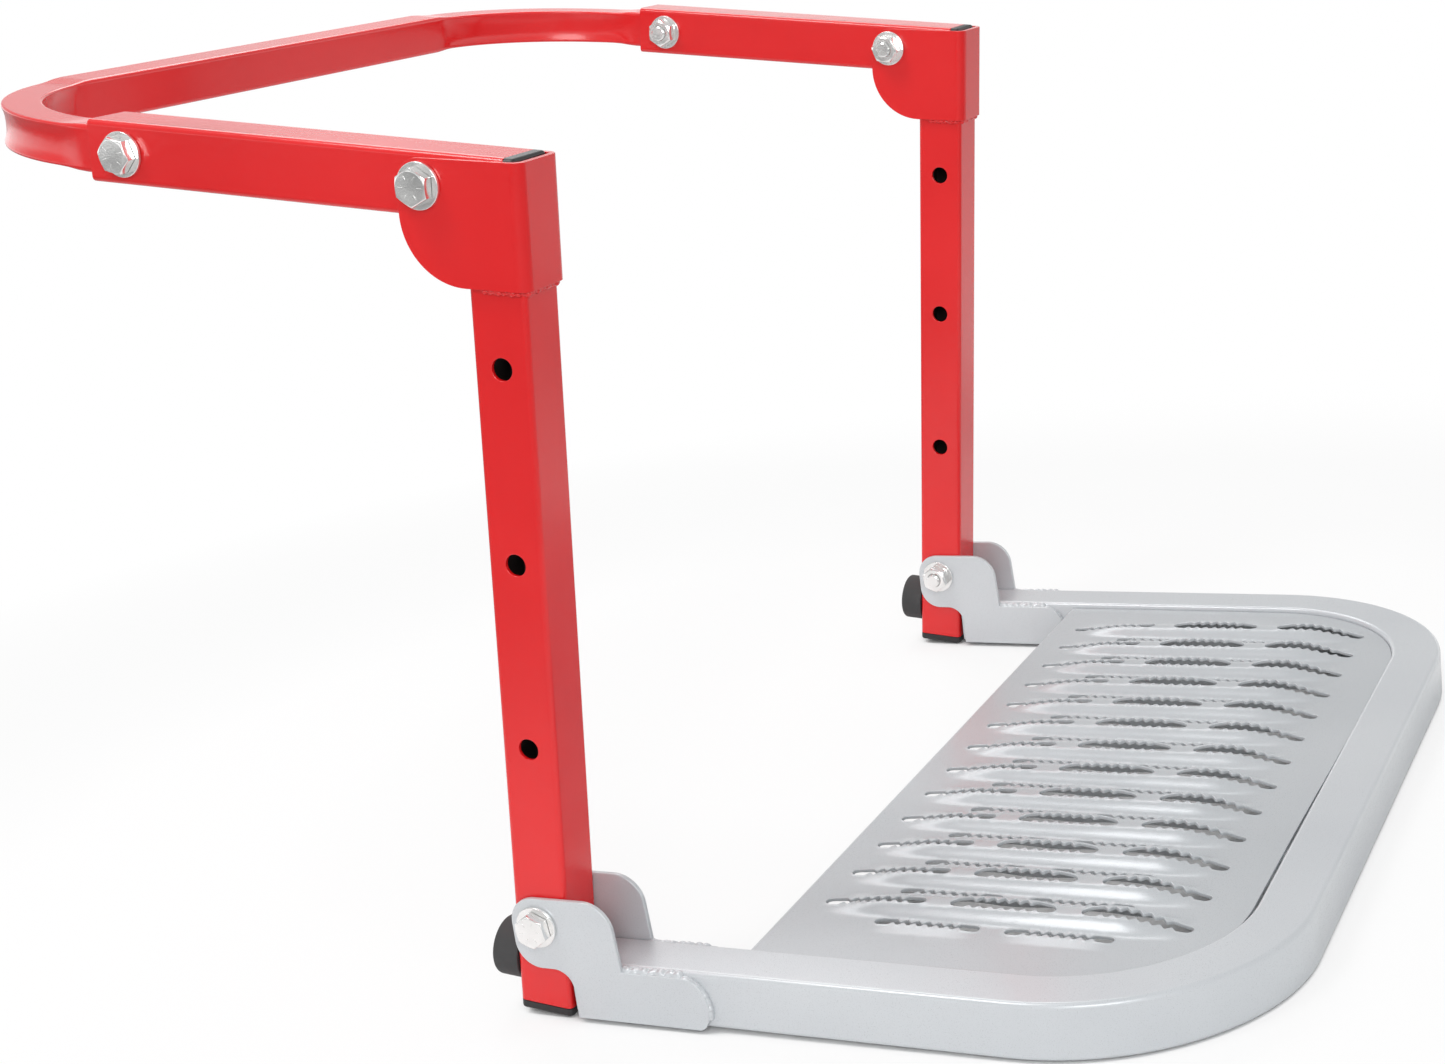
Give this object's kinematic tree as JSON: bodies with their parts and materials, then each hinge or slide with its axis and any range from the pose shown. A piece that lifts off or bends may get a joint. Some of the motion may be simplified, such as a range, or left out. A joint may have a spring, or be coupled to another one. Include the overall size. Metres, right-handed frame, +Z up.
{
  "type": "tire step",
  "caption": "Folding vehicle tire step: a square-tube hoop hangs over the tire, uprights with a row of holes carry a fold-down platform of serrated formed sheet",
  "frame": {"origin": "on the ground under the middle of the whole object, as it stands free on its two foot plugs and the front edge of the platform", "axes": "+Z up; +Y towards the hoop, which reaches over the tire; -Y towards the platform's front edge; +X to the right when facing the tire"},
  "size_m": [0.6516, 0.7146, 0.5127],
  "materials": {
    "red_powder_coat": "glossy red powder coat on steel",
    "grey_paint": "satin silver-grey paint on steel",
    "zinc_plate": "bright zinc plate",
    "black_plastic": "moulded black plastic, satin",
    "black_rubber": "matte black rubber"
  },
  "bodies": {
    "uprights": {"upright_left": "red_powder_coat", "upright_right": "red_powder_coat", "elbow_bracket_left": "red_powder_coat", "elbow_bracket_right": "red_powder_coat", "foot_plug_left": "black_plastic", "foot_plug_right": "black_plastic", "bumper_left": "black_rubber", "bumper_right": "black_rubber", "bumper_screw_left": "zinc_plate", "bumper_screw_right": "zinc_plate", "elbow_bolt_left": "zinc_plate", "elbow_bolt_right": "zinc_plate", "elbow_nut_left": "zinc_plate", "elbow_nut_right": "zinc_plate", "elbow_washer_left_outer": "zinc_plate", "elbow_washer_left_inner": "zinc_plate", "elbow_washer_right_outer": "zinc_plate", "elbow_washer_right_inner": "zinc_plate", "pivot_bolt_left": "zinc_plate", "pivot_bolt_right": "zinc_plate", "pivot_nut_left": "zinc_plate", "pivot_nut_right": "zinc_plate", "pivot_washer_left_outer": "zinc_plate", "pivot_washer_left_inner": "zinc_plate", "pivot_washer_right_outer": "zinc_plate", "pivot_washer_right_inner": "zinc_plate"},
    "hoop_and_arms": {"hoop": "red_powder_coat", "arm_left": "red_powder_coat", "arm_right": "red_powder_coat", "arm_cap_left": "black_plastic", "arm_cap_right": "black_plastic", "hoop_bolt_left": "zinc_plate", "hoop_bolt_right": "zinc_plate", "hoop_nut_left": "zinc_plate", "hoop_nut_right": "zinc_plate", "hoop_washer_left_outer": "zinc_plate", "hoop_washer_left_inner": "zinc_plate", "hoop_washer_right_outer": "zinc_plate", "hoop_washer_right_inner": "zinc_plate"},
    "platform": {"step_frame": "grey_paint", "tread_plate": "grey_paint", "hinge_plate_left_outer": "grey_paint", "hinge_plate_left_inner": "grey_paint", "hinge_plate_right_outer": "grey_paint", "hinge_plate_right_inner": "grey_paint"}
  },
  "joints": [
    {"name": "hoop_fold", "type": "hinge", "parent": "uprights", "child": "hoop_and_arms", "pos_m": [0, 0.02291, 0.45103], "axis": [-1, 0, 0], "range_deg": [0, 90]},
    {"name": "step_fold", "type": "hinge", "parent": "uprights", "child": "platform", "pos_m": [0, 0.03249, 0.05588], "axis": [-1, 0, 0], "range_deg": [0, 83.5]}
  ]
}
